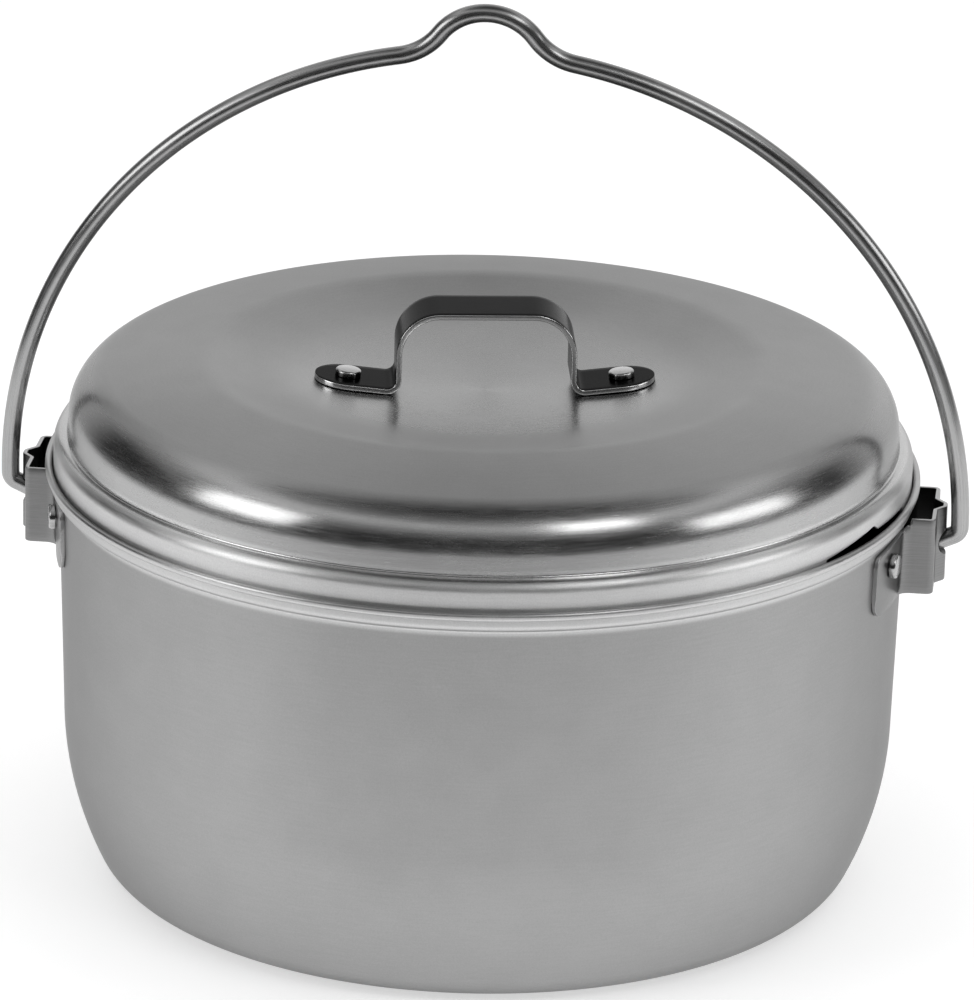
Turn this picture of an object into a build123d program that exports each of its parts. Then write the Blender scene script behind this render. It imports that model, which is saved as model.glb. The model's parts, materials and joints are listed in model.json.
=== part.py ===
from build123d import *
from math import acos, asin, cos, degrees, radians, sin, tan
import os

# Camping-style brew kettle: a spun pot, a lid with a strap handle, and a wire bail hinged in two riveted lugs.
# Millimetres. The origin is the middle of the pot's base, +Z is up, the bail hinges about the X direction
# and -Y is the front. Thin sheet is drawn as its middle line and given its thickness evenly on both sides.

# Pot
pot_sheet = 1.0
body_radius = 116.2             # outside, at the foot of the straight wall
wall_foot_height = 47.1
neck_radius = 117.5             # outside, under the rim, so the wall opens slightly upwards
base_flat_radius = 96.0
base_corner_radius = 12.1
belly_radius = 94.0
belly_turn = 25.3               # degrees of arc between the base corner and the straight wall
ledge_height = 111.2            # where the wall turns out to make the lid's seat
ledge_bend_radius = 1.55        # middle of the sheet
collar_inner_radius = 119.3
rim_height = 118.0
rim_bead_width = 2.0
rim_bead_depth = 2.3
rim_bead_round = 0.9

# Lid
lid_sheet = 1.0
lid_centre_height = 138.6       # top of the sunk centre panel
dish_radius = 325.0
dish_turn = 13.2                # slope of the sunk panel where it meets the crest
crest_radius = 18.0
crown_radius = 275.2
crown_start_slope = 5.5
crown_end_slope = 10.5
shoulder_radius = 13.6
lid_wall_slope = 2.0            # degrees from upright
crease_height = 126.1
crease_bend_radius = 0.5
flange_bend_radius = 3.4
hem_radius = 119.0              # outside
hem_bottom = 114.1

# Vent cut in the lid's hem beside the right-hand lug: distances along the hem, and heights
vent_azimuth = -23.4
vent_outline = [(-20, 113), (-20, 118), (5, 120.6), (8, 118.9), (30, 118), (30, 113)]
vent_cut_start = 112.0
vent_cut_depth = 12.0

# Strap handle, riveted to the lid a little out of line with the bail
handle_azimuth = 9.0
strap_width = 18.0
strap_thickness = 1.5
handle_span = 49.7              # outside of the two legs
handle_rise = 22.0              # from foot to top, middle of the strap
handle_top_bend = 11.3
handle_foot_bend = 3.2
handle_reach = 47.0             # from the middle to the end of a foot
handle_end_round = 8.9
handle_rivet_reach = 38.0
handle_foot_slope = 6.3
handle_foot_lift = 0.35         # keeps the flat foot clear of the hollow panel at the rivet

# Rivets: shank radius, head radius, head height, closed head radius, closed head height
handle_rivet = (2.0, 3.6, 2.0, 3.2, 1.2)
lug_rivet = (2.3, 3.4, 2.0, 3.8, 1.3)
rivet_head_round = 0.9
rivet_hole_clearance = 0.05
rivet_seat_gap = 0.02

# Bail of round wire, leaning forward of upright
wire_radius = 2.5
pivot_height = 102.3
bail_lean = 5.0
bail_arc_radius = 132.8
bail_arc_height = 4.35          # centre of the big arc above the pivot
bail_end_bend = 2.9
bail_end_slope = 25.0           # each end slopes down as it goes in through its lug
bail_end_reach = 123.0          # from the pot's axis to the tip of an end, along the hinge
bail_crest_height = 148.4       # above the pivot
bail_crest_radius = 16.1
bail_flank_radius = 17.6

# Lugs of bent steel strip
lug_sheet = 1.2
lug_width = 28.0                # outside of the two side walls
lug_bottom = 91.2
lug_top = 112.8
lug_face_reach = 126.6          # outside of the front face, from the pot's axis
lug_ridge_reach = 129.2
lug_ridge_base = 9.0
lug_ridge_flat = 2.6
lug_face_bends = (1.3, 1.0, 1.6, 1.6, 1.0, 1.3)
lug_foot_bend = 3.6
lug_corner_round = 1.6
lug_relief_radius = 121.8       # the lug is notched under the pot's rim, inside this radius
lug_relief_height = 110.9
flange_radius = 117.5           # inside of the flange, just clear of the pot wall
flange_end = 38.4               # along the wall, from the lug's middle
flange_top = 109.4
flange_lower_round = 5.5
flange_upper_round = 3.0
lug_rivet_along = 26.5          # along the wall, from the lug's middle
lug_rivet_height = 103.7
lug_rivet_inner_seat = 116.1
bail_hole_radius = 3.9

cut_reach = 200.0               # long enough to pass right through any piece


def sheet_face(line, thickness):
    return make_face(offset(line, amount=thickness / 2, side=Side.BOTH))


def spun(profile):
    """Turn a profile, drawn as radius and height, about the vertical axis."""
    outer_half = Pos(cut_reach / 2, cut_reach / 2) * Rectangle(cut_reach, 2 * cut_reach)
    return revolve(Plane.XZ * (profile & outer_half), Axis.Z, 360)


def wall_radius(height):
    """Outside radius of the pot's straight wall."""
    rise = (height - wall_foot_height) / (ledge_height - wall_foot_height)
    return body_radius + rise * (neck_radius - body_radius)


def dish_height(reach):
    """Top of the lid's sunk panel at a distance from its middle."""
    return lid_centre_height + dish_radius * (1 - cos(asin(reach / dish_radius)))


def lug_rivet_plane(side, end):
    """A plane on the pot's axis that faces along a lug rivet: side is +1 or -1, end -1 at the front."""
    azimuth = side * end * degrees(lug_rivet_along / wall_radius(lug_rivet_height))
    direction = Vector(side, 0, 0).rotate(Axis.Z, azimuth)
    return Plane(origin=(0, 0, lug_rivet_height), x_dir=(0, 0, 1), z_dir=direction)


def handle_rivet_plane(side):
    """A plane on top of a handle foot that faces along its rivet."""
    tilt = Rot(0, -handle_foot_slope, 0)
    foot = Pos(handle_rivet_reach, 0, dish_height(handle_rivet_reach) + handle_foot_lift)
    turn = Rot(0, 0, handle_azimuth + (0 if side > 0 else 180))
    return Plane(turn * foot * tilt * Location((0, 0, strap_thickness)))


def pot_midline():
    half = pot_sheet / 2
    neck = neck_radius - half
    collar = collar_inner_radius + half
    ledge_turn = degrees(acos(1 - (collar - neck) / (2 * ledge_bend_radius)))
    base = Line((0, half), (base_flat_radius, half))
    corner = JernArc(base @ 1, (1, 0), base_corner_radius - half, 90 - belly_turn)
    belly = JernArc(corner @ 1, corner % 1, belly_radius - half, belly_turn)
    wall = Line(belly @ 1, (neck, ledge_height))
    outward = JernArc(wall @ 1, (0, 1), ledge_bend_radius, -ledge_turn)
    upward = JernArc(outward @ 1, outward % 1, ledge_bend_radius, ledge_turn)
    lip = Line(upward @ 1, (collar, rim_height - rim_bead_depth / 2))
    return base + corner + belly + wall + outward + upward + lip


def pot_shell():
    bead_middle = (collar_inner_radius + rim_bead_width / 2, rim_height - rim_bead_depth / 2)
    bead = Pos(*bead_middle) * RectangleRounded(rim_bead_width, rim_bead_depth, rim_bead_round)
    pot = spun(sheet_face(pot_midline(), pot_sheet) + bead)
    return pot - lug_rivet_holes()


def lid_midline():
    half = lid_sheet / 2
    crease_bend = crease_bend_radius + half
    flange_bend = flange_bend_radius - half
    crease = (hem_radius - half - flange_bend - crease_bend, crease_height - half + crease_bend)
    dish = JernArc((0, lid_centre_height - half), (1, 0), dish_radius + half, dish_turn)
    crest = JernArc(dish @ 1, dish % 1, crest_radius - half, -dish_turn - crown_start_slope)
    crown = JernArc(crest @ 1, crest % 1, crown_radius - half, crown_start_slope - crown_end_slope)
    shoulder_turn = 90 - crown_end_slope - lid_wall_slope
    shoulder = JernArc(crown @ 1, crown % 1, shoulder_radius - half, -shoulder_turn)
    wall = Line(shoulder @ 1, crease)
    inward = JernArc(crease, (0, -1), crease_bend, 90)
    flange = JernArc(inward @ 1, (1, 0), flange_bend, -90)
    hem = Line(flange @ 1, (hem_radius - half, hem_bottom + half))
    return dish + crest + crown + shoulder + wall + inward + flange + hem


def lid_vent():
    """The wedge of hem that is cut away to let steam out."""
    outward = Vector(1, 0, 0).rotate(Axis.Z, vent_azimuth)
    along = Vector(0, 1, 0).rotate(Axis.Z, vent_azimuth)
    face = Plane(origin=outward * vent_cut_start, x_dir=along, z_dir=outward)
    return extrude(face * make_face(Polyline(*vent_outline, close=True)), vent_cut_depth)


def lid_shell():
    lid = spun(sheet_face(lid_midline(), lid_sheet))
    return lid - lid_vent() - handle_rivet_holes()


def lid_handle():
    half = strap_thickness / 2
    leg = handle_span / 2 - half
    slope = tan(radians(handle_foot_slope))
    foot_at_rivet = dish_height(handle_rivet_reach) + handle_foot_lift + half / cos(radians(handle_foot_slope))
    foot_end = foot_at_rivet + (handle_reach - handle_rivet_reach) * slope
    foot_root = foot_at_rivet - (handle_rivet_reach - leg) * slope
    top = foot_root + handle_rise
    right = [(leg, top), (leg, foot_root), (handle_reach, foot_end)]
    left = [(-x, z) for x, z in reversed(right)]
    bends = [handle_foot_bend, handle_top_bend, handle_top_bend, handle_foot_bend]
    section = sheet_face(FilletPolyline(*left, *right, radius=bends), strap_thickness)
    strap = extrude(Plane.XZ * section, strap_width / 2, both=True)
    outline = RectangleRounded(2 * handle_reach, strap_width, handle_end_round)
    strap = Rot(0, 0, handle_azimuth) * (strap & extrude(outline, cut_reach))
    return strap - handle_rivet_holes()


def rivet(sizes, grip):
    """A rivet with its head above the XY plane and its closed head below the sheets it holds."""
    shank_radius, head_radius, head_height, closed_radius, closed_height = sizes
    seat = Pos(0, 0, rivet_seat_gap)
    head = seat * extrude(Circle(head_radius), head_height)
    head = fillet(head.edges().group_by(Axis.Z)[-1], rivet_head_round)
    shank = Pos(0, 0, -grip) * extrude(Circle(shank_radius), grip + head_height / 2)
    closed = Pos(0, 0, -grip) * extrude(Circle(closed_radius), -closed_height)
    closed = fillet(closed.edges().group_by(Axis.Z)[0], closed_height / 2)
    return head + shank + closed


def handle_rivet_piece(side):
    grip = strap_thickness + handle_foot_lift + lid_sheet + rivet_seat_gap
    return handle_rivet_plane(side).location * rivet(handle_rivet, grip)


def handle_rivet_holes():
    hole = Circle(handle_rivet[0] + rivet_hole_clearance)
    bore = extrude(hole, 3 * strap_thickness, both=True)
    return [handle_rivet_plane(side).location * bore for side in (1, -1)]


def lug_rivet_piece(side, end):
    seat = flange_radius + lug_sheet
    return lug_rivet_plane(side, end).location * Pos(0, 0, seat) * rivet(lug_rivet, seat - lug_rivet_inner_seat)


def lug_rivet_holes():
    bore = extrude(Circle(lug_rivet[0] + rivet_hole_clearance), cut_reach)
    return [lug_rivet_plane(side, end).location * bore for side in (1, -1) for end in (1, -1)]


def lug_plan():
    """Middle line of the right-hand lug's strip, seen from above."""
    half = lug_sheet / 2
    wall = lug_width / 2 - half
    bend = lug_foot_bend
    flange = flange_radius + half
    bend_azimuth = degrees(asin((wall + bend) / (flange + bend)))
    end_azimuth = degrees(flange_end / flange)
    start = Vector(flange, 0).rotate(Axis.Z, -end_azimuth)
    heading = Vector(0, 1).rotate(Axis.Z, -end_azimuth)
    hug = JernArc(start, heading, flange, end_azimuth - bend_azimuth)
    root = JernArc(hug @ 1, hug % 1, bend, bend_azimuth - 90)
    face = lug_face_reach - half
    ridge = lug_ridge_reach - half
    lower = [tuple(root @ 1)[:2], (face, -wall), (face, -lug_ridge_base / 2), (ridge, -lug_ridge_flat / 2)]
    upper = [(x, -y) for x, y in reversed(lower)]
    channel = FilletPolyline(*lower, *upper, radius=lug_face_bends)
    flange = hug + root
    return Wire([*flange.edges(), *channel.edges(), *mirror(flange, Plane.XZ).edges()])


def lug_outline():
    """The lug's strip as cut out, seen from the side of the kettle: two flanges and a taller channel."""
    half_length = flange_radius * sin(flange_end / flange_radius)
    flange_height = flange_top - lug_bottom
    flange = Pos(0, lug_bottom + flange_height / 2) * Rectangle(2 * half_length, flange_height)
    flange = fillet(flange.vertices().group_by(Axis.Y)[0], flange_lower_round)
    flange = fillet(flange.vertices().group_by(Axis.Y)[-1], flange_upper_round)
    channel_width = lug_width + 2 * lug_foot_bend
    channel_height = lug_top - lug_bottom
    channel = Pos(0, lug_bottom + channel_height / 2) * RectangleRounded(channel_width, channel_height, lug_corner_round)
    return flange + channel


def lug(side):
    strip = Pos(0, 0, lug_bottom) * extrude(sheet_face(lug_plan(), lug_sheet), lug_top - lug_bottom)
    strip = strip & extrude(Plane.YZ * lug_outline(), cut_reach)
    bail_hole = extrude(Plane.YZ.offset(flange_radius) * Pos(0, pivot_height) * Circle(bail_hole_radius), cut_reach)
    relief = Pos(0, 0, lug_relief_height) * extrude(Circle(lug_relief_radius), cut_reach)
    turned = Rot(0, 0, 0 if side > 0 else 180) * (strip - bail_hole - relief)
    return turned - lug_rivet_holes()


def bail_centreline():
    crest_centre = bail_crest_height - bail_crest_radius - bail_arc_height
    to_arc = bail_arc_radius + bail_flank_radius
    to_crest = bail_crest_radius + bail_flank_radius
    flank_height = (to_arc ** 2 - to_crest ** 2 + crest_centre ** 2) / (2 * crest_centre)
    arc_start = degrees(acos(flank_height / to_arc))
    crest_turn = degrees(acos((flank_height - crest_centre) / to_crest))
    crest = JernArc((0, bail_crest_height), (1, 0), bail_crest_radius, -crest_turn)
    flank = JernArc(crest @ 1, crest % 1, bail_flank_radius, crest_turn - arc_start)
    arc = JernArc(flank @ 1, flank % 1, bail_arc_radius, arc_start - 90)
    end_bend = JernArc(arc @ 1, arc % 1, bail_end_bend, bail_end_slope - 90)
    end_length = ((end_bend @ 1).X - bail_end_reach) / cos(radians(bail_end_slope))
    end = Line(end_bend @ 1, end_bend @ 1 + end_bend % 1 * end_length)
    half = crest + flank + arc + end_bend + end
    return Plane.XZ * Wire([*half.edges(), *mirror(half, Plane.YZ).edges()])


def bail():
    path = bail_centreline()
    start = Plane(origin=path @ 0, z_dir=path % 0)
    wire = sweep(start * Circle(wire_radius), path)
    return Pos(0, 0, pivot_height) * Rot(bail_lean, 0, 0) * wire


def pieces():
    made = {"pot_shell": pot_shell(), "lid_shell": lid_shell(), "lid_handle": lid_handle(), "bail": bail()}
    for side, side_name in ((1, "right"), (-1, "left")):
        made[f"lid_handle_rivet_{side_name}"] = handle_rivet_piece(side)
        made[f"lug_{side_name}"] = lug(side)
        for end, end_name in ((-1, "front"), (1, "rear")):
            made[f"lug_{side_name}_rivet_{end_name}"] = lug_rivet_piece(side, end)
    return made


os.makedirs("parts", exist_ok=True)
for name, shape in pieces().items():
    export_step(shape, f"parts/{name}.step")
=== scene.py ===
import json
from math import acos, asin, atan2, ceil, cos, degrees, hypot, pi, radians, sin, sqrt, tan

import bmesh
import bpy
from mathutils import Matrix, Vector


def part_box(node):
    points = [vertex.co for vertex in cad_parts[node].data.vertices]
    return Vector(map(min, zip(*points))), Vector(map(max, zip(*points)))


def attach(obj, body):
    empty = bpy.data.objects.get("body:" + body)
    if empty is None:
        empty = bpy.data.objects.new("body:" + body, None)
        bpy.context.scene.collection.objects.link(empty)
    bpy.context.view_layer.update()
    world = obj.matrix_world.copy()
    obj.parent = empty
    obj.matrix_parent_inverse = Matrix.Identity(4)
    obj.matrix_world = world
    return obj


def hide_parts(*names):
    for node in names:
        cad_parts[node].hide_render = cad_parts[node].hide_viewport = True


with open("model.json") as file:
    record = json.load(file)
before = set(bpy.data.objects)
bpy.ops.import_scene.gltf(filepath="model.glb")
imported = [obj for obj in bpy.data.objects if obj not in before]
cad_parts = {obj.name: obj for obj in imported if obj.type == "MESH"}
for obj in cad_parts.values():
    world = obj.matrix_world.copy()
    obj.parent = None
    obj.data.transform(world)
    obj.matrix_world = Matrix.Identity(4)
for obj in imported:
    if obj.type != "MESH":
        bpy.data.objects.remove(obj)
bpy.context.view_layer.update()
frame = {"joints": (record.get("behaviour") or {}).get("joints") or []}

# A spun aluminium brew kettle: pot, lid with a strap handle, and a wire bail in two riveted lugs.
# Metres throughout. Sheet parts are drawn as the middle line of the sheet, as radius and height.

# ---------------------------------------------------------------- sizes taken from the frame
_, POT_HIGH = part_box("pot_shell")
LID_LOW, LID_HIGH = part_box("lid_shell")
LUG_LOW, LUG_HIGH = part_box("lug_right")
PIVOT = Vector(next(j["pos_m"] for j in frame["joints"] if j["name"] == "bail_swing"))

# ---------------------------------------------------------------- pot
POT_SHEET = 0.001
RIM_TOP = POT_HIGH.z
RIM_REACH = POT_HIGH.x
BEAD_WIDTH = 0.002
BEAD_DEPTH = 0.0023
BEAD_ROUND = 0.0009
COLLAR_REACH = RIM_REACH - BEAD_WIDTH + POT_SHEET / 2
WALL_TOP_REACH = 0.1175
WALL_FOOT_REACH = 0.1162
WALL_FOOT_HEIGHT = 0.0471
LEDGE_HEIGHT = 0.1112
LEDGE_BEND = 0.00155
BASE_FLAT = 0.096
BASE_CORNER = 0.0121
BELLY_BEND = 0.094
BELLY_TURN = 25.3

# ---------------------------------------------------------------- lid
LID_SHEET = 0.001
LID_CENTRE_HEIGHT = 0.1386
DISH_BEND = 0.325
DISH_TURN = 13.2
CREST_BEND = 0.018
CROWN_BEND = 0.2752
CROWN_START_SLOPE = 5.5
CROWN_END_SLOPE = 10.5
SHOULDER_BEND = 0.0136
LID_WALL_SLOPE = 2.0
CREASE_HEIGHT = 0.1261
CREASE_BEND = 0.0005
FLANGE_BEND = 0.0034
HEM_REACH = LID_HIGH.x
HEM_BOTTOM = LID_LOW.z
VENT_AZIMUTH = -23.4
VENT_TOP = [(-0.020, 0.118), (0.005, 0.1206), (0.008, 0.1189), (0.030, 0.118)]  # along the hem, height
VENT_CORNER = 0.0001

# ---------------------------------------------------------------- strap handle
HANDLE_AZIMUTH = radians(9.0)
STRAP_WIDTH = 0.018
STRAP_THICKNESS = 0.0015
HANDLE_SPAN = 0.0497
HANDLE_RISE = 0.022
HANDLE_TOP_BEND = 0.0113
HANDLE_FOOT_BEND = 0.0032
HANDLE_REACH = 0.047
HANDLE_END_ROUND = 0.0089
HANDLE_RIVET_REACH = 0.038
HANDLE_FOOT_SLOPE = radians(6.3)
HANDLE_FOOT_LIFT = 0.00035
HANDLE_TIP_HALF_WIDTH = 0.0004  # a rounded end stops here, short of a point
HANDLE_END_CELLS = 24
HANDLE_EDGE_ROUND = 0.0003

# ---------------------------------------------------------------- rivets
# Radius of the shank, radius and height of the head, and radius and height of the closed head
HANDLE_RIVET = (0.002, 0.0036, 0.002, 0.0032, 0.0012)
LUG_RIVET = (0.0023, 0.0034, 0.002, 0.0038, 0.0013)
RIVET_SEAT_GAP = 0.00002
RIVET_HEAD_ROUND = 0.35  # share of the head's height that its edge is rounded by
RIVET_HEAD_CROWN = 0.07  # share of the head's height that its top is domed by
RIVET_HEAD_EDGE = 0.0002
RIVET_CLOSED_EDGE = 0.0001

# ---------------------------------------------------------------- bail
WIRE_RADIUS = 0.0025
BAIL_LEAN = radians(5.0)
BAIL_ARC = 0.1328
BAIL_ARC_HEIGHT = 0.00435
BAIL_END_BEND = 0.0029
BAIL_END_SLOPE = 25.0
BAIL_END_REACH = 0.123
BAIL_CREST_HEIGHT = 0.1484
BAIL_CREST_BEND = 0.0161
BAIL_FLANK_BEND = 0.0176
WIRE_CELLS = 28

# ---------------------------------------------------------------- lugs
LUG_SHEET = 0.0012
LUG_WIDTH = 0.028
LUG_BOTTOM = LUG_LOW.z
LUG_TOP = LUG_HIGH.z
LUG_FACE_REACH = 0.1266
LUG_RIDGE_REACH = LUG_HIGH.x
LUG_RIDGE_BASE = 0.009
LUG_RIDGE_FLAT = 0.0026
LUG_FACE_BENDS = (0.0013, 0.001, 0.0016, 0.0016, 0.001, 0.0013)
LUG_FOOT_BEND = 0.0036
LUG_RELIEF_REACH = 0.1207
LUG_RELIEF_HEIGHT = 0.1109
FLANGE_REACH = 0.1175
FLANGE_END = 0.0384
FLANGE_TOP = 0.1094
FLANGE_LOWER_ROUND = 0.0055
FLANGE_UPPER_ROUND = 0.003
LUG_RIVET_ALONG = 0.0265
LUG_RIVET_HEIGHT = 0.1037
LUG_RIVET_INNER_SEAT = 0.1161
BAIL_HOLE = 0.0039
LUG_WALL_CELLS = 28
LUG_EDGE_ROUND = 0.00025
LUG_LEAST_WIDTH = 0.0008  # of the strip, where its corners are rounded away
CUT_END_TURN = 0.1  # degrees of flange beside its cut end
FLANGE_STEP = 0.35  # degrees

# Side of the model that a piece is on, and the word for it in names
SIDES = ((1, "right"), (-1, "left"))


# ---------------------------------------------------------------- drawing lines
LEAST_STEP = 2e-6  # points of an outline that are closer than this are taken as one


class Track:
    """A line drawn step by step in a plane. Each point keeps its heading, to give the line thickness."""

    def __init__(self, x, y, heading=0.0):
        self.points = [(x, y, heading)]

    def arc(self, radius, turn, step=3.0):
        """An arc that keeps the line's direction; turn is in degrees, positive to the left."""
        x, y, heading = self.points[-1]
        side = 1 if turn > 0 else -1
        centre_x = x - side * radius * sin(heading)
        centre_y = y + side * radius * cos(heading)
        count = max(2, ceil(abs(turn) / step))
        for i in range(1, count + 1):
            h = heading + radians(turn) * i / count
            self.points.append((centre_x + side * radius * sin(h), centre_y - side * radius * cos(h), h))
        return self

    def line(self, x, y, count=1, heading=None):
        """A straight run to a point, cut into count pieces."""
        start_x, start_y, _ = self.points[-1]
        h = atan2(y - start_y, x - start_x)
        if abs(h - self.points[-1][2]) > 1e-4:
            self.points.append((start_x, start_y, h))
        for i in range(1, count + 1):
            share = i / count
            self.points.append((start_x + (x - start_x) * share, start_y + (y - start_y) * share, h))
        if heading is not None:
            self.points[-1] = (x, y, heading)
        return self

    def side(self, distance):
        """The line moved to its left by a distance."""
        moved = [(x - distance * sin(h), y + distance * cos(h)) for x, y, h in self.points]
        kept = [moved[0]]
        for point in moved[1:]:
            if hypot(point[0] - kept[-1][0], point[1] - kept[-1][1]) > LEAST_STEP:
                kept.append(point)
        return kept

    def lengths(self):
        """Distance along the line to each of its points."""
        along = [0.0]
        for (x0, y0, _), (x1, y1, _) in zip(self.points, self.points[1:]):
            along.append(along[-1] + hypot(x1 - x0, y1 - y0))
        return along


def rounded_end(track, thickness, count=5):
    """Points of a half circle round the end of a track, from its left side to its right side."""
    x, y, heading = track.points[-1]
    turns = [pi / 2 - pi * i / (count + 1) for i in range(1, count + 1)]
    return [(x + thickness / 2 * cos(heading + t), y + thickness / 2 * sin(heading + t)) for t in turns]


# ---------------------------------------------------------------- building meshes
def new_object(name, mesh, material, body, slot, *nodes, sharp=40):
    """Shade a mesh smooth except across sharp edges, and put it in the model as a named piece."""
    mesh.materials.append(material)
    mesh.shade_smooth()
    mesh.set_sharp_from_angle(angle=radians(sharp))
    piece = bpy.data.objects.new(name, mesh)
    bpy.context.scene.collection.objects.link(piece)
    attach(piece, body)
    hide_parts(*nodes)
    return piece


def finish_mesh(bm, name):
    bmesh.ops.recalc_face_normals(bm, faces=bm.faces)
    mesh = bpy.data.meshes.new(name)
    bm.to_mesh(mesh)
    bm.free()
    return mesh


def lathe(name, outline, azimuths, place=None):
    """Turn a closed outline of (radius, height) about the vertical axis.
    place(index, azimuth) may give a point of the outline another radius and height."""
    bm = bmesh.new()
    rings = []
    for index, (reach, height) in enumerate(outline):
        if reach < 1e-6:
            rings.append([bm.verts.new((0, 0, height))] * len(azimuths))
            continue
        ring = []
        for azimuth in azimuths:
            r, z = place(index, azimuth) if place else (reach, height)
            ring.append(bm.verts.new((r * cos(azimuth), r * sin(azimuth), z)))
        rings.append(ring)
    for lower, upper in zip(rings, rings[1:]):
        for i in range(len(azimuths)):
            j = (i + 1) % len(azimuths)
            corners = list(dict.fromkeys([lower[i], lower[j], upper[j], upper[i]]))
            if len(corners) > 2:
                bm.faces.new(corners)
    return finish_mesh(bm, name)


def even_azimuths(count):
    return [2 * pi * i / count for i in range(count)]


# ---------------------------------------------------------------- materials
MIX_LOW, MIX_HIGH, MIX_RESULT = 6, 7, 2  # the colour sockets of a Mix node
NOISE_LOW, NOISE_HIGH = 0.3, 0.7  # most of a noise texture's values lie between these


class Nodes:
    """A short way to write shader nodes. An input is given a node or a socket to link, or a plain value."""

    def __init__(self, owner, shader="Principled BSDF"):
        owner.use_nodes = True
        self.tree = owner.node_tree
        self.shader = self.tree.nodes[shader]

    def add(self, kind, inputs=(), **settings):
        node = self.tree.nodes.new(kind)
        for key, value in settings.items():
            setattr(node, key, value)
        for key, value in dict(inputs).items():
            self.give(node.inputs[key], value)
        return node

    def give(self, socket, value):
        if isinstance(value, bpy.types.Node):
            value = value.outputs[0]
        if isinstance(value, bpy.types.NodeSocket):
            self.tree.links.new(value, socket)
        else:
            socket.default_value = value

    def math(self, operation, a, b=0.0, c=0.0):
        return self.add("ShaderNodeMath", {0: a, 1: b, 2: c}, operation=operation)

    def ramp(self, value, low, high, out_low=0.0, out_high=1.0):
        """value between low and high, smoothly taken to out_low and out_high."""
        inputs = {"Value": value, "From Min": low, "From Max": high, "To Min": out_low, "To Max": out_high}
        return self.add("ShaderNodeMapRange", inputs, interpolation_type="SMOOTHSTEP")

    def noise(self, vector, scale, detail=2.0, roughness=0.5):
        inputs = {"Vector": vector, "Scale": scale, "Detail": detail, "Roughness": roughness}
        return self.add("ShaderNodeTexNoise", inputs)

    def position(self):
        return self.add("ShaderNodeTexCoord").outputs["Object"]

    def stretched(self, vector, x, y, z):
        return self.add("ShaderNodeMapping", {"Vector": vector, "Scale": (x, y, z)})

    def bump(self, height, distance, strength=1.0, normal=None):
        inputs = {"Height": height, "Distance": distance, "Strength": strength}
        if normal is not None:
            inputs["Normal"] = normal
        return self.add("ShaderNodeBump", inputs)

    def vary(self, value, amount, base):
        """base, moved by up to half of amount either way as value goes from 0 to 1."""
        return self.math("MULTIPLY_ADD", self.math("SUBTRACT", value, 0.5), amount, base)

    def mix(self, share, low, high):
        """A colour between two others."""
        inputs = {"Factor": share, MIX_LOW: low, MIX_HIGH: high}
        return self.add("ShaderNodeMix", inputs, data_type="RGBA").outputs[MIX_RESULT]


ACROSS_GRAIN = 0.25  # a quarter turn: highlights spread across the grain, which follows the tangent
SPUN_ANISOTROPY = 0.55
SPUN_GRAZE = 0.55  # brightness of spun aluminium at a low angle
AXIS_REACH = 0.004  # the grain's direction is held steady nearer the axis than this


def metal(name, roughness, anisotropy=0.0):
    material = bpy.data.materials.new(name)
    n = Nodes(material)
    n.shader.inputs["Metallic"].default_value = 1.0
    n.shader.inputs["Roughness"].default_value = roughness
    n.shader.inputs["Anisotropic"].default_value = anisotropy
    n.shader.inputs["Anisotropic Rotation"].default_value = ACROSS_GRAIN
    return material, n


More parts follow.
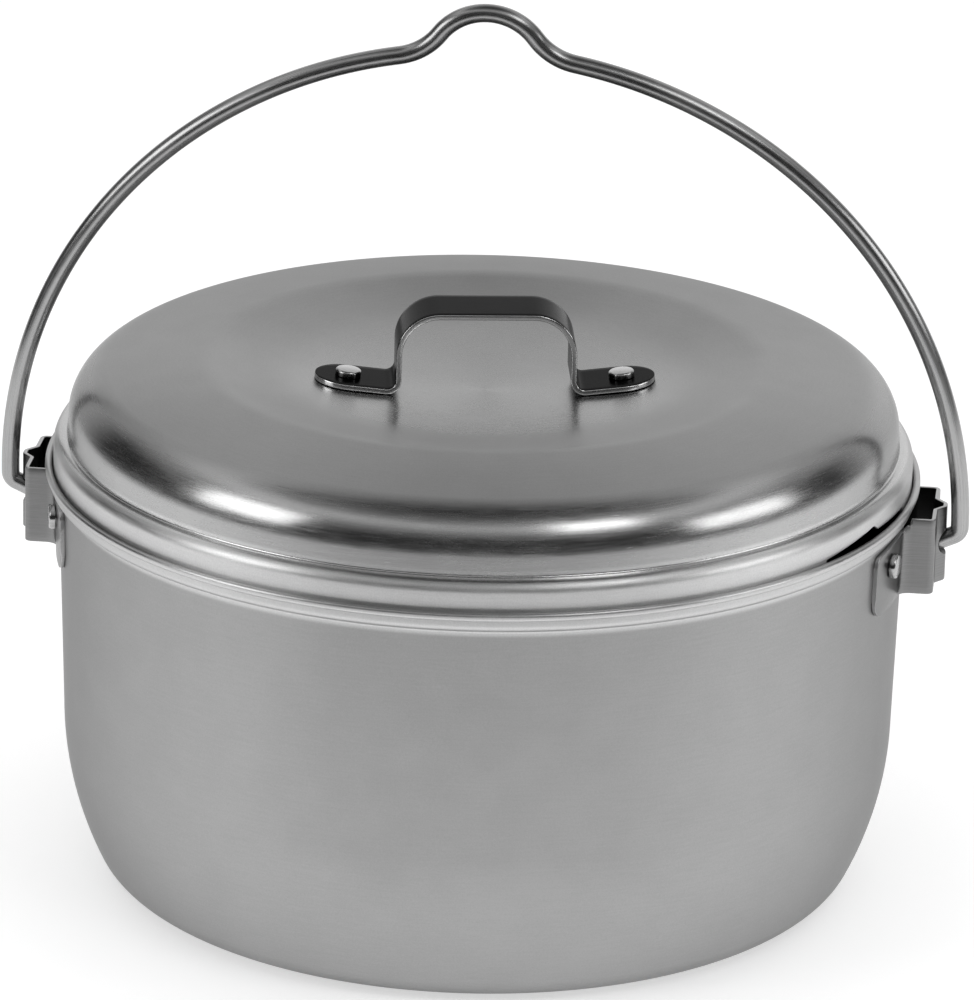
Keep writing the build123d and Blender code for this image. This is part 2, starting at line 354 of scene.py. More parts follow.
def spun_aluminium(name, climb, tone, satin, burnished, burnish_heights, rim_sheen_heights, rim_sheen):
    """Spun sheet: fine rings of grain round the axis, satin on the faces and burnished where the tool
    pressed a bend. climb is +1 for a profile that rises as it goes out, and -1 for one that falls. The last
    argument is how much lighter the rims are painted, a painted sheen for the highlights on their bends. The
    heights give where a band fades in and fades out."""
    material, n = metal(name, satin, SPUN_ANISOTROPY)
    n.shader.inputs["Specular Tint"].default_value = (SPUN_GRAZE, SPUN_GRAZE, SPUN_GRAZE, 1)
    n.give(n.shader.inputs["Tangent"], n.add("ShaderNodeTangent", direction_type="RADIAL", axis="Z"))
    position = n.position()
    parts = n.add("ShaderNodeSeparateXYZ", {0: position})
    reach = n.math("SQRT", n.math("ADD", n.math("MULTIPLY", parts.outputs["X"], parts.outputs["X"]),
                                  n.math("MULTIPLY", parts.outputs["Y"], parts.outputs["Y"])))
    safe_reach = n.math("MAXIMUM", reach, AXIS_REACH)
    around_x = n.math("DIVIDE", parts.outputs["X"], safe_reach)
    around_y = n.math("DIVIDE", parts.outputs["Y"], safe_reach)
    along = n.math("MULTIPLY_ADD", parts.outputs["Z"], climb, reach)

    def rings(around, pitch, detail=3.0):
        vector = n.add("ShaderNodeCombineXYZ", {
            "X": n.math("MULTIPLY", around_x, around), "Y": n.math("MULTIPLY", around_y, around),
            "Z": n.math("DIVIDE", along, pitch)})
        return n.noise(vector, 1.0, detail).outputs["Fac"]

    fine = rings(around=14.0, pitch=0.0006)
    broad = rings(around=1.2, pitch=0.006, detail=2.0)
    grain = n.noise(position, scale=2600.0, detail=2.0).outputs["Fac"]
    cloud = n.noise(position, scale=24.0, detail=4.0).outputs["Fac"]
    smudge = n.noise(position, scale=90.0, detail=3.0).outputs["Fac"]

    def band(heights, out_low, out_high):
        (low, full), (fading, gone) = heights
        inside = n.math("MULTIPLY", n.ramp(parts.outputs["Z"], low, full),
                        n.ramp(parts.outputs["Z"], fading, gone, 1.0, 0.0))
        return n.ramp(inside, 0.0, 1.0, out_low, out_high)

    colour = n.math("ADD", n.math("MULTIPLY", fine, 0.3), n.math("MULTIPLY", grain, 0.4))
    colour = n.math("ADD", colour, n.math("MULTIPLY", cloud, 0.3))
    grey = n.ramp(colour, NOISE_LOW, NOISE_HIGH, tone * 0.9, tone * 1.08)
    # painted sheen: the rims are painted lighter, standing in for the highlights on their bends
    grey = n.math("MULTIPLY", grey, band(rim_sheen_heights, 1.0, rim_sheen))
    n.give(n.shader.inputs["Base Color"], n.add("ShaderNodeCombineColor", {0: grey, 1: grey, 2: grey}))

    rough = n.vary(fine, 0.16, band(burnish_heights, satin, burnished))
    rough = n.vary(smudge, 0.08, rough)
    rough = n.vary(cloud, 0.1, rough)
    n.give(n.shader.inputs["Roughness"], rough)

    relief = n.bump(fine, distance=0.00001, strength=0.5)
    relief = n.bump(broad, distance=0.00006, strength=0.4, normal=relief)
    relief = n.bump(grain, distance=0.000005, strength=0.5, normal=relief)
    n.give(n.shader.inputs["Normal"], relief)
    return material


PAINTED_SHADE_SHARE = 0.12  # tone of a strip's face in painted shade, as a share of the other face's: the face that lies in shade is painted darker


def drawn_steel(name, tone, roughness, along, streak, edge=0.0, anisotropy=0.4, graze=1.0):
    """Steel with streaks along one direction of its surface map, whose unit is the metre. along and streak
    are the scales of the streaks along and across. The cut edges of a strip are painted lighter by a given
    amount, a painted highlight, and the strip's face that lies in shade is painted darker, a painted shade.
    graze is its brightness at a low angle."""
    material, n = metal(name, roughness, anisotropy)
    n.shader.inputs["Specular Tint"].default_value = (graze, graze, graze, 1)
    wrap = n.add("ShaderNodeUVMap", uv_map="strip")
    n.give(n.shader.inputs["Tangent"], n.add("ShaderNodeTangent", direction_type="UV_MAP", uv_map="strip"))
    wrap = n.stretched(wrap, along, streak, 1.0)
    streaks = n.noise(wrap, scale=1.0, detail=4.0, roughness=0.6).outputs["Fac"]
    position = n.position()
    cloud = n.noise(position, scale=60.0, detail=4.0).outputs["Fac"]
    speck = n.noise(position, scale=1500.0, detail=2.0).outputs["Fac"]
    share = n.math("ADD", n.math("MULTIPLY", streaks, 0.6), n.math("MULTIPLY", cloud, 0.4))
    base = n.ramp(share, NOISE_LOW, NOISE_HIGH, tone * 0.8, tone * 1.15)
    if edge:
        cut = n.add("ShaderNodeAttribute", attribute_name="cut_edge").outputs["Fac"]
        painted_shade = n.add("ShaderNodeAttribute", attribute_name="painted_shade").outputs["Fac"]
        # painted shade: the strip's face that lies in shade, between lug and pot, is painted darker
        base = n.math("MULTIPLY", base, n.ramp(painted_shade, 0.1, 0.9, 1.0, PAINTED_SHADE_SHARE))
        # painted highlight: the cut edges are painted lighter, as if catching the light
        base = n.math("ADD", base, n.math("MULTIPLY", n.ramp(cut, 0.15, 0.9), edge))
    n.give(n.shader.inputs["Base Color"], n.add("ShaderNodeCombineColor", {0: base, 1: base, 2: base}))
    rough = n.vary(streaks, 0.22, roughness)
    rough = n.vary(cloud, 0.12, rough)
    n.give(n.shader.inputs["Roughness"], rough)
    relief = n.bump(streaks, distance=0.00002, strength=0.5)
    relief = n.bump(speck, distance=0.000008, strength=0.4, normal=relief)
    n.give(n.shader.inputs["Normal"], relief)
    return material


# Where bands of the metal fade in and fade out, by height
BELOW_ALL = (0.0, 0.01)
ABOVE_ALL = (0.2, 0.21)
POT_RIM = ((0.1095, 0.1115), ABOVE_ALL)
LID_BENDS = ((0.1252, 0.1258), (0.1405, 0.1455))
LID_RIM = (BELOW_ALL, (0.1265, 0.1285))

# the rims of pot and lid are painted lighter by the last argument: a painted sheen
POT_METAL = spun_aluminium("spun_pot", climb=1.0, tone=0.42, satin=0.42, burnished=0.36,
                           burnish_heights=POT_RIM, rim_sheen_heights=POT_RIM, rim_sheen=1.5)
LID_METAL = spun_aluminium("spun_lid", climb=-1.0, tone=0.49, satin=0.42, burnished=0.25,
                           burnish_heights=LID_BENDS, rim_sheen_heights=LID_RIM, rim_sheen=1.55)
# the strap's near-black tone is a painted dark reflection: it stands in for the dark surroundings that its
# polished faces reflect
STRAP_METAL = drawn_steel("polished_strap", tone=0.02, roughness=0.2, along=40.0, streak=3000.0,
                          edge=0.9, anisotropy=0.2, graze=0.5)
LUG_METAL = drawn_steel("brushed_lug", tone=0.25, roughness=0.32, along=60.0, streak=5000.0,
                        edge=0.3, anisotropy=0.5, graze=0.8)
WIRE_METAL = drawn_steel("drawn_wire", tone=0.4, roughness=0.28, along=30.0, streak=2500.0,
                         anisotropy=0.4, graze=0.9)
RIVET_METAL = drawn_steel("bright_rivet", tone=0.45, roughness=0.2, along=900.0, streak=900.0, anisotropy=0.1)


# ---------------------------------------------------------------- pot and lid
AZIMUTHS = 360  # cells round a lathe


def pot_outline():
    half = POT_SHEET / 2
    neck = WALL_TOP_REACH - half
    ledge_turn = degrees(acos(1 - (COLLAR_REACH - neck) / (2 * LEDGE_BEND)))
    track = Track(0, half).line(BASE_FLAT, half, 12)
    track.arc(BASE_CORNER - half, 90 - BELLY_TURN)
    track.arc(BELLY_BEND - half, BELLY_TURN, 1.5)
    track.line(neck, LEDGE_HEIGHT, 16, heading=pi / 2)
    track.arc(LEDGE_BEND, -ledge_turn, 8).arc(LEDGE_BEND, ledge_turn, 8)
    bead_bottom = RIM_TOP - BEAD_DEPTH
    track.line(COLLAR_REACH, bead_bottom, 2)
    bead = Track(COLLAR_REACH + half, bead_bottom).line(RIM_REACH - BEAD_ROUND, bead_bottom)
    bead.arc(BEAD_ROUND, 90, 12).line(RIM_REACH, RIM_TOP - BEAD_ROUND).arc(BEAD_ROUND, 90, 12)
    bead.line(RIM_REACH - BEAD_WIDTH + BEAD_ROUND, RIM_TOP).arc(BEAD_ROUND, 90, 12)
    return track.side(-half) + bead.side(0)[1:] + track.side(half)[::-1]


def build_pot():
    mesh = lathe("pot_body", pot_outline(), even_azimuths(AZIMUTHS))
    new_object("pot_body", mesh, POT_METAL, "pot", "pot_aluminium", "pot_shell")


def lid_outline():
    """The lid's outline, and the height where its straight hem starts, which the vent shortens."""
    half = LID_SHEET / 2
    crease_bend = CREASE_BEND + half
    flange_bend = FLANGE_BEND - half
    hem = HEM_REACH - half
    track = Track(0, LID_CENTRE_HEIGHT - half).arc(DISH_BEND + half, DISH_TURN, 0.5)
    track.arc(CREST_BEND - half, -DISH_TURN - CROWN_START_SLOPE, 1.5)
    track.arc(CROWN_BEND - half, CROWN_START_SLOPE - CROWN_END_SLOPE, 0.5)
    track.arc(SHOULDER_BEND - half, LID_WALL_SLOPE + CROWN_END_SLOPE - 90, 2)
    track.line(hem - flange_bend - crease_bend, CREASE_HEIGHT - half + crease_bend, 3, heading=-pi / 2)
    track.arc(crease_bend, 90, 10).arc(flange_bend, -90, 6)
    hem_start = track.points[-1][1]
    track.line(hem, HEM_BOTTOM + half, 6)
    outline = track.side(half) + rounded_end(track, LID_SHEET) + track.side(-half)[::-1]
    return outline, hem_start


def vent_height(along):
    """How high the vent is cut in the hem, at a distance along it, or None beside the vent."""
    for (a, low), (b, high) in zip(VENT_TOP, VENT_TOP[1:]):
        if a <= along <= b:
            return low + (high - low) * (along - a) / (b - a)
    return None


def build_lid():
    outline, hem_start = lid_outline()
    middle = radians(VENT_AZIMUTH)
    span = hem_start - HEM_BOTTOM

    def place(index, azimuth):
        reach, height = outline[index]
        turn = (azimuth - middle + pi) % (2 * pi) - pi
        cut = vent_height(turn * HEM_REACH)
        if cut is not None and height < hem_start and reach > HEM_REACH - 2 * LID_SHEET:
            height = hem_start - (hem_start - height) * (hem_start - cut) / span
        return reach, height

    # two close azimuths at each corner of the vent keep its sides upright
    lean = VENT_CORNER / HEM_REACH
    corners = [middle + along / HEM_REACH + side * lean for along, _ in VENT_TOP for side in (-1, 1)]

    def clear_of_corners(azimuth):
        return all(abs((azimuth - corner + pi) % (2 * pi) - pi) > 4 * lean for corner in corners)

    azimuths = [azimuth for azimuth in even_azimuths(AZIMUTHS) if clear_of_corners(azimuth)]
    azimuths = sorted(azimuths + [corner % (2 * pi) for corner in corners])
    mesh = lathe("lid_dome", outline, azimuths, place)
    new_object("lid_dome", mesh, LID_METAL, "lid", "lid_aluminium", "lid_shell")


# ---------------------------------------------------------------- bent strips
CUT_EDGE_START = 0.4  # share of an edge's rounding, from the face, that still counts as face
FACE_START = 0.9  # share of half the thickness past which a point lies on a face


def strip(name, track, thickness, spans, cells_across, place, edge_round, shaded_side=0):
    """A bent strip, with cut edges that are rounded a little. track is its middle line. spans(length along
    it, whole length) gives its lowest and highest place across. place(x, y, across) puts a point of the
    strip in the model. The last argument is +1 for a strip whose face on the left of its line lies in shade
    and is painted darker, a painted shade, -1 for the right and 0 for neither."""
    bm = bmesh.new()
    maps = bm.loops.layers.uv.new("strip")
    cut_layer = bm.verts.layers.float.new("cut_edge")
    painted_shade_layer = bm.verts.layers.float.new("painted_shade")
    half = thickness / 2
    flat = half - edge_round
    lengths = track.lengths()
    rounded = []
    for turns, middle in (((-90, -60, -30, 0), -flat), ((0, 30, 60, 90), flat)):
        for turn in turns:
            rounded.append((edge_round * (1 - cos(radians(turn))), middle + edge_round * sin(radians(turn))))
    inner = [i / cells_across for i in range(1, cells_across)]
    # share of the way across, inset from the cut edge, and offset through the thickness
    section = [(0, inset, through) for inset, through in rounded]
    section += [(share, 0, half) for share in inner]
    section += [(1, inset, -through) for inset, through in rounded]
    section += [(1 - share, 0, -half) for share in inner]
    rings, facts = [], {}
    for (x, y, heading), length in zip(track.points, lengths):
        at_end = length in (0.0, lengths[-1])
        low, high = spans(length, lengths[-1])
        ring = []
        for share, inset, through in section:
            if share == 0:
                across = low + inset
            elif share == 1:
                across = high - inset
            else:
                across = low + edge_round + (high - low - 2 * edge_round) * share
            point = place(x - through * sin(heading), y + through * cos(heading), across)
            vert = bm.verts.new(point)
            cut = at_end or share in (0, 1) and abs(through) < half - edge_round * CUT_EDGE_START
            # marks the cut edges, which the shader paints lighter as a painted highlight
            vert[cut_layer] = 1.0 if cut else 0.0
            # marks the face in shade, which the shader paints darker as painted shade
            vert[painted_shade_layer] = 1.0 if through * shaded_side > half * FACE_START and not cut else 0.0
            facts[vert] = (length, across)
            ring.append(vert)
        rings.append(ring)
    for first, second in zip(rings, rings[1:]):
        for i in range(len(section)):
            j = (i + 1) % len(section)
            bm.faces.new((first[i], first[j], second[j], second[i]))
    for ring in (rings[0], rings[-1]):
        bm.faces.new(ring)
    for face in bm.faces:
        for loop in face.loops:
            loop[maps].uv = facts[loop.vert]
    return finish_mesh(bm, name)


def rounded_away(gap, radius):
    """How much a rounded corner takes off a strip's side, at a distance from the strip's end."""
    return radius - sqrt(max(0.0, radius ** 2 - (radius - gap) ** 2)) if gap < radius else 0.0


def dish_height(reach):
    """Top of the lid's sunk panel, at a distance from the axis."""
    return LID_CENTRE_HEIGHT + DISH_BEND * (1 - cos(asin(reach / DISH_BEND)))


def handle_track():
    """Middle line of the strap, from its left end to its right end, as distance along it and height."""
    half = STRAP_THICKNESS / 2
    leg = HANDLE_SPAN / 2 - half
    slope = tan(HANDLE_FOOT_SLOPE)
    at_rivet = dish_height(HANDLE_RIVET_REACH) + HANDLE_FOOT_LIFT + half / cos(HANDLE_FOOT_SLOPE)
    end = at_rivet + (HANDLE_REACH - HANDLE_RIVET_REACH) * slope
    root = at_rivet - (HANDLE_RIVET_REACH - leg) * slope
    top = root + HANDLE_RISE
    foot_turn = degrees(pi / 2 + HANDLE_FOOT_SLOPE)
    foot_cut = HANDLE_FOOT_BEND * tan(radians(foot_turn) / 2)
    track = Track(-HANDLE_REACH, end, -HANDLE_FOOT_SLOPE)
    for i in range(1, HANDLE_END_CELLS + 1):  # closer points round the end of the foot
        reach = -HANDLE_REACH + HANDLE_END_ROUND * (1 - cos(pi / 2 * i / HANDLE_END_CELLS))
        track.points.append((reach, end + (-HANDLE_REACH - reach) * slope, -HANDLE_FOOT_SLOPE))
    start = -leg - foot_cut * cos(HANDLE_FOOT_SLOPE)
    track.line(start, root + (-leg - start) * slope, 8)
    track.arc(HANDLE_FOOT_BEND, foot_turn, 6)
    track.line(-leg, top - HANDLE_TOP_BEND, 6)
    track.arc(HANDLE_TOP_BEND, -90, 4)
    track.line(0, top, 8)
    mirrored = [(-x, y, -h) for x, y, h in reversed(track.points[:-1])]
    track.points += mirrored
    return track


def build_handle():
    track = handle_track()

    def spans(length, total):
        gap = min(length, total - length) * cos(HANDLE_FOOT_SLOPE)
        half_width = max(STRAP_WIDTH / 2 - rounded_away(gap, HANDLE_END_ROUND), HANDLE_TIP_HALF_WIDTH)
        return -half_width, half_width

    def place(x, y, across):
        return Matrix.Rotation(HANDLE_AZIMUTH, 3, "Z") @ Vector((x, across, y))

    mesh = strip("lid_strap_handle", track, STRAP_THICKNESS, spans, 10, place, HANDLE_EDGE_ROUND)
    new_object("lid_strap_handle", mesh, STRAP_METAL, "lid", "handle_steel", "lid_handle", sharp=50)


# ---------------------------------------------------------------- rivets
def rivet_outline(sizes, grip):
    """Half section of a rivet, from the middle of its head to the middle of its closed head."""
    shank, head, head_height, closed, closed_height = sizes
    round_top = head_height * RIVET_HEAD_ROUND
    crown = head_height * RIVET_HEAD_CROWN
    flat = head - round_top
    middle = RIVET_SEAT_GAP + head_height
    shoulder = middle - crown
    points = [(flat * i / 6, middle - crown * (i / 6) ** 2) for i in range(7)]
    for degree in range(12, 91, 13):
        turn = radians(degree)
        points.append((flat + round_top * sin(turn), shoulder - round_top * (1 - cos(turn))))
    points += [(head, RIVET_SEAT_GAP + RIVET_HEAD_EDGE), (head - RIVET_HEAD_EDGE, RIVET_SEAT_GAP)]
    points += [(shank, RIVET_SEAT_GAP), (shank, -grip)]
    points += [(closed - RIVET_CLOSED_EDGE, -grip), (closed, -grip - RIVET_CLOSED_EDGE)]
    drop = closed_height / 2
    for degree in range(0, 91, 15):
        turn = radians(degree)
        points.append((closed - drop * (1 - cos(turn)), -grip - drop - drop * sin(turn)))
    points.append((0, -grip - closed_height))
    return points


def build_rivet(name, node, sizes, grip, place, body):
    """A rivet, drawn upright and then put in the model by place. Its surface map is seen from above it."""
    mesh = lathe(name, rivet_outline(sizes, grip), even_azimuths(48))
    mesh.transform(place)
    maps = mesh.uv_layers.new(name="strip")
    inverse = place.inverted()
    for loop in mesh.loops:
        local = inverse @ mesh.vertices[loop.vertex_index].co
        maps.data[loop.index].uv = (local.x, local.y)
    new_object(name, mesh, RIVET_METAL, body, "rivet_steel", node, sharp=35)


def build_handle_rivets():
    grip = STRAP_THICKNESS + HANDLE_FOOT_LIFT + LID_SHEET + RIVET_SEAT_GAP
    foot_top = dish_height(HANDLE_RIVET_REACH) + HANDLE_FOOT_LIFT
    seat = Matrix.Translation((HANDLE_RIVET_REACH, 0, foot_top)) @ Matrix.Rotation(-HANDLE_FOOT_SLOPE, 4, "Y")
    for side, side_name in SIDES:
        turn = Matrix.Rotation(HANDLE_AZIMUTH + (0 if side > 0 else pi), 4, "Z")
        place = turn @ seat @ Matrix.Translation((0, 0, STRAP_THICKNESS))
        name = f"handle_rivet_{side_name}"
        build_rivet(name, f"lid_handle_rivet_{side_name}", HANDLE_RIVET, grip, place, "lid")


def wall_reach(height):
    """Outside radius of the pot's straight wall."""
    rise = (height - WALL_FOOT_HEIGHT) / (LEDGE_HEIGHT - WALL_FOOT_HEIGHT)
    return WALL_FOOT_REACH + rise * (WALL_TOP_REACH - WALL_FOOT_REACH)


def build_lug_rivets():
    seat = FLANGE_REACH + LUG_SHEET
    grip = seat - LUG_RIVET_INNER_SEAT
    turn_to_rivet = LUG_RIVET_ALONG / wall_reach(LUG_RIVET_HEIGHT)
    for side, side_name in SIDES:
        for end, end_name in ((-1, "front"), (1, "rear")):
            azimuth = side * end * turn_to_rivet + (0 if side > 0 else pi)
            outward = Matrix.Rotation(azimuth, 4, "Z") @ Matrix.Translation((seat, 0, LUG_RIVET_HEIGHT))
            place = outward @ Matrix.Rotation(pi / 2, 4, "Y")
            name = f"lug_rivet_{side_name}_{end_name}"
            build_rivet(name, f"lug_{side_name}_rivet_{end_name}", LUG_RIVET, grip, place, "pot")


# ---------------------------------------------------------------- lugs
def rounded_corners(track, corners, bends, first_cells, cells=3, step=12):
    """Straight runs through corners, each rounded with its bend radius. The first run has first_cells
    pieces and the others have cells."""
    points = [track.points[-1][:2]] + corners
    for i, bend in enumerate(bends):
        a, b, c = (Vector(p) for p in points[i:i + 3])
        turn = -(b - a).angle_signed(c - b)
        cut = bend * tan(abs(turn) / 2)
        start = b - (b - a).normalized() * cut
        track.line(start.x, start.y, cells if i else first_cells)
        track.arc(bend, degrees(turn), step)
    return track


def lug_track():
    """Middle line of the right-hand lug's strip, seen from above, from its front end to its rear end."""
    half = LUG_SHEET / 2
    wall = LUG_WIDTH / 2 - half
    flange = FLANGE_REACH + half
    bend_azimuth = asin((wall + LUG_FOOT_BEND) / (flange + LUG_FOOT_BEND))
    end_azimuth = FLANGE_END / flange
    face, ridge = LUG_FACE_REACH - half, LUG_RIDGE_REACH - half
    track = Track(flange * cos(end_azimuth), -flange * sin(end_azimuth), pi / 2 - end_azimuth)
    hug = degrees(end_azimuth - bend_azimuth)
    track.arc(flange, CUT_END_TURN, CUT_END_TURN).arc(flange, hug - CUT_END_TURN, FLANGE_STEP)
    track.arc(LUG_FOOT_BEND, degrees(bend_azimuth) - 90, 7)
    lower = [(face, -wall), (face, -LUG_RIDGE_BASE / 2), (ridge, -LUG_RIDGE_FLAT / 2)]
    corners = lower + [(x, -y) for x, y in reversed(lower)]
    corners.append((track.points[-1][0], wall))
    rounded_corners(track, corners, LUG_FACE_BENDS, LUG_WALL_CELLS)
    track.line(corners[-1][0], wall, LUG_WALL_CELLS)
    track.arc(LUG_FOOT_BEND, degrees(bend_azimuth) - 90, 7)
    track.arc(flange, hug - CUT_END_TURN, FLANGE_STEP).arc(flange, CUT_END_TURN, CUT_END_TURN)
    return track


def lug_spans(track):
    """Lowest and highest place of the strip at each length along it: two flanges with rounded corners, and
    the taller channel between them."""
    lengths = track.lengths()
    reach_at = {round(length, 9): hypot(x, y) for (x, y, _), length in zip(track.points, lengths)}

    def spans(length, total):
        gap = min(length, total - length)
        low = LUG_BOTTOM + rounded_away(gap, FLANGE_LOWER_ROUND)
        reach = reach_at[round(length, 9)]
        if reach > LUG_RELIEF_REACH:
            high = LUG_TOP
        else:
            rise = min(1.0, max(0.0, (reach - FLANGE_REACH - LUG_SHEET) / LUG_SHEET))
            high = FLANGE_TOP + (LUG_RELIEF_HEIGHT - FLANGE_TOP) * rise
        high -= rounded_away(gap, FLANGE_UPPER_ROUND)
        return low, max(high, low + LUG_LEAST_WIDTH)

    return spans


def build_lug(track, side, side_name):
    """A lug. Its flanges follow the wall, which is narrower at its foot, and its channel stays upright."""
    on_wall = FLANGE_REACH + LUG_SHEET

    def place(x, y, across):
        reach = hypot(x, y)
        hold = min(1.0, max(0.0, (LUG_RELIEF_REACH - reach) / (LUG_RELIEF_REACH - on_wall)))
        closer = 1 - hold * (WALL_TOP_REACH - wall_reach(across)) / reach
        return Vector((side * x * closer, side * y * closer, across))

    name = f"lug_bracket_{side_name}"
    # the lug's inner face, in the shade between lug and pot, is painted darker: painted shade
    mesh = strip(name, track, LUG_SHEET, lug_spans(track), 12, place, LUG_EDGE_ROUND, shaded_side=1)
    piece = new_object(name, mesh, LUG_METAL, "pot", "lug_steel", f"lug_{side_name}", sharp=50)
    bore_hole(piece, side)


def bore_hole(piece, side):
    """Cut the bail's hole through the lug's ridge."""
    bm = bmesh.new()
    start, end = side * (FLANGE_REACH + 2 * LUG_SHEET), side * (LUG_RIDGE_REACH + 2 * LUG_SHEET)
    along_x = Matrix.Translation(((start + end) / 2, 0, PIVOT.z)) @ Matrix.Rotation(pi / 2, 4, "Y")
    bmesh.ops.create_cone(bm, cap_ends=True, segments=48, radius1=BAIL_HOLE, radius2=BAIL_HOLE,
                          depth=abs(end - start), matrix=along_x)
    mesh = bpy.data.meshes.new("bore")
    bm.to_mesh(mesh)
    bm.free()
    cutter = bpy.data.objects.new("bore", mesh)
    bpy.context.scene.collection.objects.link(cutter)
    cut = piece.modifiers.new("bail_hole", "BOOLEAN")
    cut.object, cut.operation, cut.solver = cutter, "DIFFERENCE", "EXACT"
    bpy.context.view_layer.update()
    depsgraph = bpy.context.evaluated_depsgraph_get()
    bored = bpy.data.meshes.new_from_object(piece.evaluated_get(depsgraph), preserve_all_data_layers=True,
                                            depsgraph=depsgraph)
    piece.modifiers.clear()
    piece.data = bored
    bored.set_sharp_from_angle(angle=radians(50))
    bpy.data.objects.remove(cutter)


def build_lugs():
    track = lug_track()
    for side, side_name in SIDES:
        build_lug(track, side, side_name)


# ---------------------------------------------------------------- bail
def bail_track():
    """Middle line of the bail's wire, from its left end to its right end, from the pivot line up."""
    crest_centre = BAIL_CREST_HEIGHT - BAIL_CREST_BEND - BAIL_ARC_HEIGHT
    to_arc = BAIL_ARC + BAIL_FLANK_BEND
    to_crest = BAIL_CREST_BEND + BAIL_FLANK_BEND
    flank_height = (to_arc ** 2 - to_crest ** 2 + crest_centre ** 2) / (2 * crest_centre)
    arc_start = degrees(acos(flank_height / to_arc))
    crest_turn = degrees(acos((flank_height - crest_centre) / to_crest))
    right = Track(0, BAIL_CREST_HEIGHT).arc(BAIL_CREST_BEND, -crest_turn, 4)
    right.arc(BAIL_FLANK_BEND, crest_turn - arc_start, 4)
    right.arc(BAIL_ARC, arc_start - 90, 0.8)
    right.arc(BAIL_END_BEND, BAIL_END_SLOPE - 90, 5)
    end_x, end_y, _ = right.points[-1]
    right.line(BAIL_END_REACH, end_y - (end_x - BAIL_END_REACH) * tan(radians(BAIL_END_SLOPE)), 4)
    left = [(-x, y, -h) for x, y, h in reversed(right.points[1:])]
    right.points = left + right.points
    return right


def build_bail():
    track = bail_track()
    bm = bmesh.new()
    maps = bm.loops.layers.uv.new("strip")
    place = Matrix.Translation(PIVOT) @ Matrix.Rotation(BAIL_LEAN, 4, "X")
    girth = WIRE_RADIUS * 2 * pi
    rings, facts = [], {}
    for (x, y, heading), length in zip(track.points, track.lengths()):
        ring = []
        for i in range(WIRE_CELLS):
            turn = 2 * pi * i / WIRE_CELLS
            across = WIRE_RADIUS * cos(turn)
            point = Vector((x - across * sin(heading), WIRE_RADIUS * sin(turn), y + across * cos(heading)))
            vert = bm.verts.new(place @ point)
            facts[vert] = (length, WIRE_RADIUS * turn)
            ring.append(vert)
        rings.append(ring)
    for first, second in zip(rings, rings[1:]):
        for i in range(WIRE_CELLS):
            j = (i + 1) % WIRE_CELLS
            bm.faces.new((first[i], first[j], second[j], second[i]))
    for ring in (rings[0], rings[-1]):
        bm.faces.new(ring)
    for face in bm.faces:
        wraps = [facts[loop.vert][1] for loop in face.loops]
        on_seam = len(wraps) == 4 and max(wraps) - min(wraps) > girth / 2
        for loop in face.loops:
            along, wrap = facts[loop.vert]
            if on_seam and wrap < girth / 2:
                wrap += girth
            loop[maps].uv = (along, wrap)
    mesh = finish_mesh(bm, "bail_wire")
    new_object("bail_wire", mesh, WIRE_METAL, "bail", "bail_wire", "bail", sharp=50)


build_pot()
build_lid()
build_handle()
build_handle_rivets()
build_lug_rivets()
build_lugs()
build_bail()


# ---------------------------------------------------------------- floor, light and camera
FLOOR_MIDDLE = 0.6
FLOOR_REACH = 1.3
FLOOR_FADE_START = 0.75  # share of the reach where the floor starts to fade
FLOOR_GAP = 0.0002
FLOOR_DARK = (0.62, 0.62, 0.62, 1)
FLOOR_PALE = (0.64, 0.64, 0.6432, 1)
FLOOR_GLOW = 0.5
LIGHTS_AIM = Vector((0, 0, 0.12))

# Brightness of the studio's walls and ceiling by the sine of the elevation, behind the kettle and in front
STUDIO_BACK = ((0.0, 1.25), (0.2, 1.2), (0.44, 1.0), (0.6, 0.84), (0.7, 0.56), (0.85, 0.06), (1.0, 0.03))
STUDIO_FRONT = ((0.0, 0.04), (0.12, 0.02), (0.4, 0.02), (0.6, 0.3), (0.77, 0.8), (0.88, 0.2), (1.0, 0.03))
STUDIO_TURN = (0.5, 1.0)  # how far back a direction points, where the front gives way to the back
STUDIO_SEEN = (0.97, 0.97, 0.97, 1)

VIEW_AZIMUTH = radians(6.0)
VIEW_ELEVATION = radians(19.816)
VIEW_ROLL = radians(1.3)
VIEW_DISTANCE = 1.936
VIEW_SIDE = 0.00136
VIEW_HEIGHT = 0.10621
LENS = 250.65


def build_floor():
    """A pale floor that fades out into the white of the studio, farther away behind the kettle than in
    front of it."""
    bm = bmesh.new()
    bmesh.ops.create_grid(bm, x_segments=8, y_segments=8, size=6.0)
    mesh = bpy.data.meshes.new("floor")
    bm.to_mesh(mesh)
    bm.free()
    material = bpy.data.materials.new("floor")
    n = Nodes(material)
    mottle = n.noise(n.position(), scale=6.0, detail=3.0).outputs["Fac"]
    n.give(n.shader.inputs["Base Color"], n.mix(mottle, FLOOR_DARK, FLOOR_PALE))
    n.shader.inputs["Roughness"].default_value = 0.9
    n.shader.inputs["Specular IOR Level"].default_value = 0.1
    n.shader.inputs["Emission Color"].default_value = (1, 1, 1, 1)
    n.shader.inputs["Emission Strength"].default_value = FLOOR_GLOW
    ends = {0: n.position(), 1: (0, FLOOR_MIDDLE, 0)}
    from_middle = n.add("ShaderNodeVectorMath", ends, operation="DISTANCE")
    fade = n.ramp(from_middle.outputs["Value"], FLOOR_REACH * FLOOR_FADE_START, FLOOR_REACH, 1.0, 0.0)
    n.give(n.shader.inputs["Alpha"], fade)
    mesh.materials.append(material)
    floor = bpy.data.objects.new("floor", mesh)
    floor.location.z = -FLOOR_GAP
    bpy.context.scene.collection.objects.link(floor)


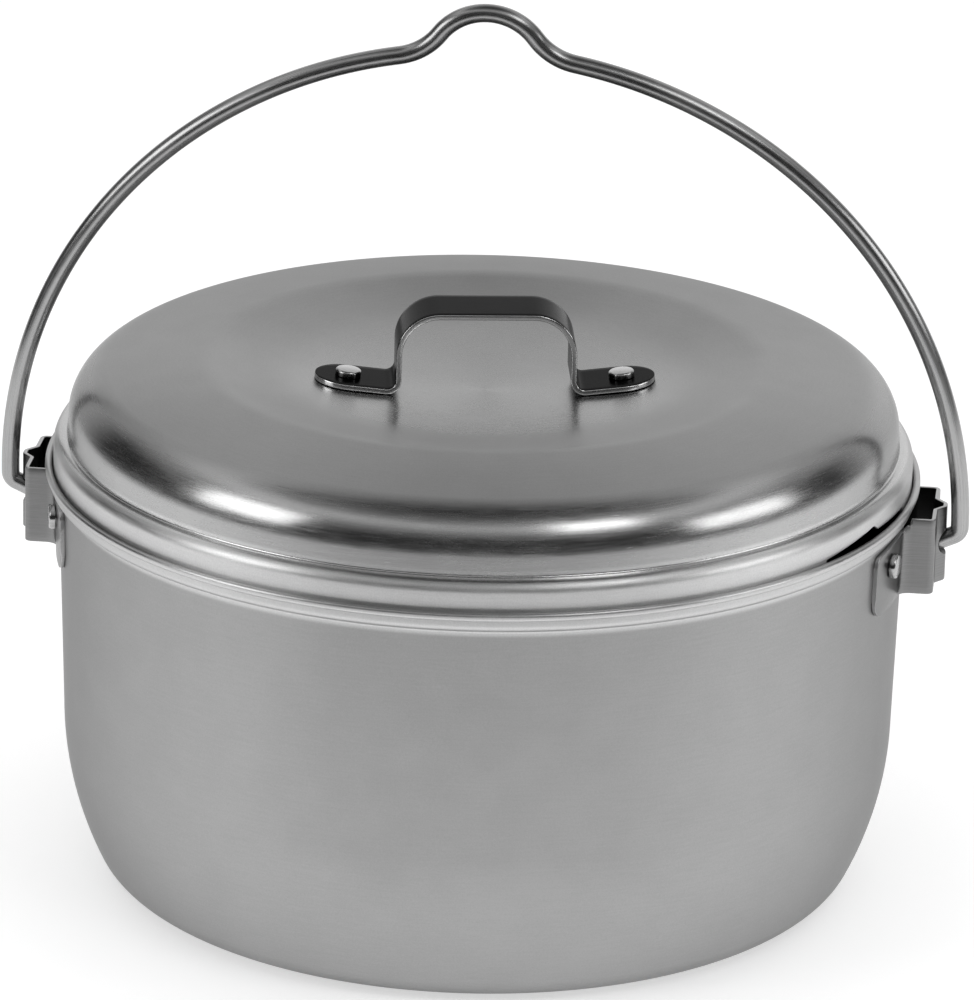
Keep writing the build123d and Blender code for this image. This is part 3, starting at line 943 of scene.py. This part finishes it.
def outward(azimuth, elevation):
    """The direction away from the kettle. Azimuth 0 is in front, and a quarter turn is to the right."""
    return Vector((sin(azimuth) * cos(elevation), -cos(azimuth) * cos(elevation), sin(elevation)))


def soft_light(name, azimuth, elevation, distance, width, height, radiance, in_gloss=True):
    """A soft rectangular light that looks at the kettle from an azimuth and an elevation in degrees."""
    away = outward(radians(azimuth), radians(elevation))
    data = bpy.data.lights.new(name, "AREA")
    data.shape = "RECTANGLE"
    data.size, data.size_y = width, height
    data.energy = radiance * pi * width * height
    light = bpy.data.objects.new(name, data)
    light.location = LIGHTS_AIM + away * distance
    light.rotation_mode = "QUATERNION"
    light.rotation_quaternion = away.to_track_quat("Z", "Y")
    light.visible_glossy = in_gloss
    bpy.context.scene.collection.objects.link(light)


def build_studio():
    """A plain soft studio: pale low down behind, darker in front, and dark overhead. The camera sees it
    white."""
    world = bpy.data.worlds.new("studio")
    bpy.context.scene.world = world
    n = Nodes(world, "Background")
    direction = n.add("ShaderNodeSeparateXYZ", {0: n.add("ShaderNodeTexCoord").outputs["Generated"]})

    def by_height(steps):
        ramp = n.add("ShaderNodeValToRGB", {0: direction.outputs["Z"]})
        ramp.color_ramp.interpolation = "EASE"
        stops = ramp.color_ramp.elements  # has a first and a last stop already
        for height, _ in steps[1:-1]:
            stops.new(height)
        for stop, (height, grey) in zip(stops, steps):
            stop.position, stop.color = height, (grey, grey, grey, 1)
        return ramp.outputs["Color"]

    turn_start, turn_end = STUDIO_TURN
    turn_inputs = {"Value": direction.outputs["Y"], "From Min": turn_start, "From Max": turn_end}
    behind = n.add("ShaderNodeMapRange", turn_inputs)
    walls = n.mix(behind, by_height(STUDIO_FRONT), by_height(STUDIO_BACK))
    camera_ray = n.add("ShaderNodeLightPath").outputs["Is Camera Ray"]
    n.give(n.shader.inputs["Color"], n.mix(camera_ray, walls, STUDIO_SEEN))


def build_lights():
    # name, azimuth, elevation, distance, width, height and radiance
    soft_light("ceiling", 0, 90, 2.4, 3.2, 3.2, 1.5, in_gloss=False)
    soft_light("left_box", -60, 22, 1.3, 0.65, 0.55, 2.8)
    soft_light("right_box", 42, 45, 1.3, 0.42, 0.34, 2.8)
    soft_light("side_box", 80, 18, 1.3, 0.7, 0.45, 2.5)
    build_studio()


def build_camera():
    """The camera looks at a point near the kettle's axis, from a little to the right, rolled slightly."""
    away = outward(VIEW_AZIMUTH, VIEW_ELEVATION)
    right = Vector((cos(VIEW_AZIMUTH), sin(VIEW_AZIMUTH), 0))
    up = away.cross(right)
    across = right * cos(VIEW_ROLL) + up * sin(VIEW_ROLL)
    upward = up * cos(VIEW_ROLL) - right * sin(VIEW_ROLL)
    data = bpy.data.cameras.new("camera")
    data.lens = LENS
    data.clip_end = 50
    camera = bpy.data.objects.new("camera", data)
    bpy.context.scene.collection.objects.link(camera)
    turn = Matrix((across, upward, away)).transposed().to_4x4()
    place = Vector((VIEW_SIDE, 0, VIEW_HEIGHT)) + away * VIEW_DISTANCE
    camera.matrix_world = Matrix.Translation(place) @ turn
    bpy.context.scene.camera = camera


build_floor()
build_lights()
build_camera()
bpy.context.scene.view_settings.view_transform = "Standard"
